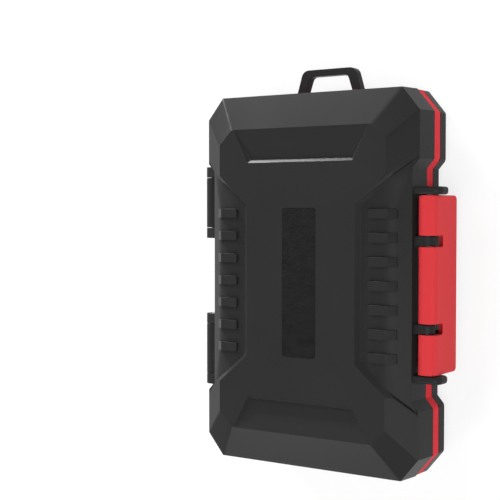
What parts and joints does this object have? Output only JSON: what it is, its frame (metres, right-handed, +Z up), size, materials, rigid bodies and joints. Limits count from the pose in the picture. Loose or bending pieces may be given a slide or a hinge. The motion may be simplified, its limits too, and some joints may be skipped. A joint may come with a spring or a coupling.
{
  "type": "memory card case",
  "caption": "Hard shell case for memory cards: bevelled black lid and base on barrel hinges, red liners with card wells, a red side latch and a carrying loop.",
  "frame": {"origin": "middle of the base's flat back face", "axes": "closed case lying on its back: +X from the hinges to the latch, +Y along its length to the loop, +Z up to the lid's face"},
  "size_m": [0.077, 0.1063, 0.0236],
  "materials": {
    "shell": "fine matte grain",
    "liner": "soft satin",
    "latch": "satin",
    "pin": "dull",
    "label": "rough grain"
  },
  "bodies": {
    "base": {"base_shell": "shell", "base_liner": "liner"},
    "lid": {"lid_shell": "shell", "lid_liner": "liner", "label_plate": "label", "latch_pin": "pin", "hinge_pin_loop_end": "pin", "hinge_pin_far_end": "pin"},
    "latch": {"latch": "latch"}
  },
  "joints": [
    {"name": "lid_hinge", "type": "hinge", "parent": "base", "child": "lid", "pos_m": [-0.0366, 0, 0.01095], "axis": [0, -1, 0], "range_deg": [0, 180]},
    {"name": "latch_hinge", "type": "hinge", "parent": "lid", "child": "latch", "pos_m": [0.0335, 0, 0.0159], "axis": [0, -1, 0], "range_deg": [0, 95]}
  ]
}
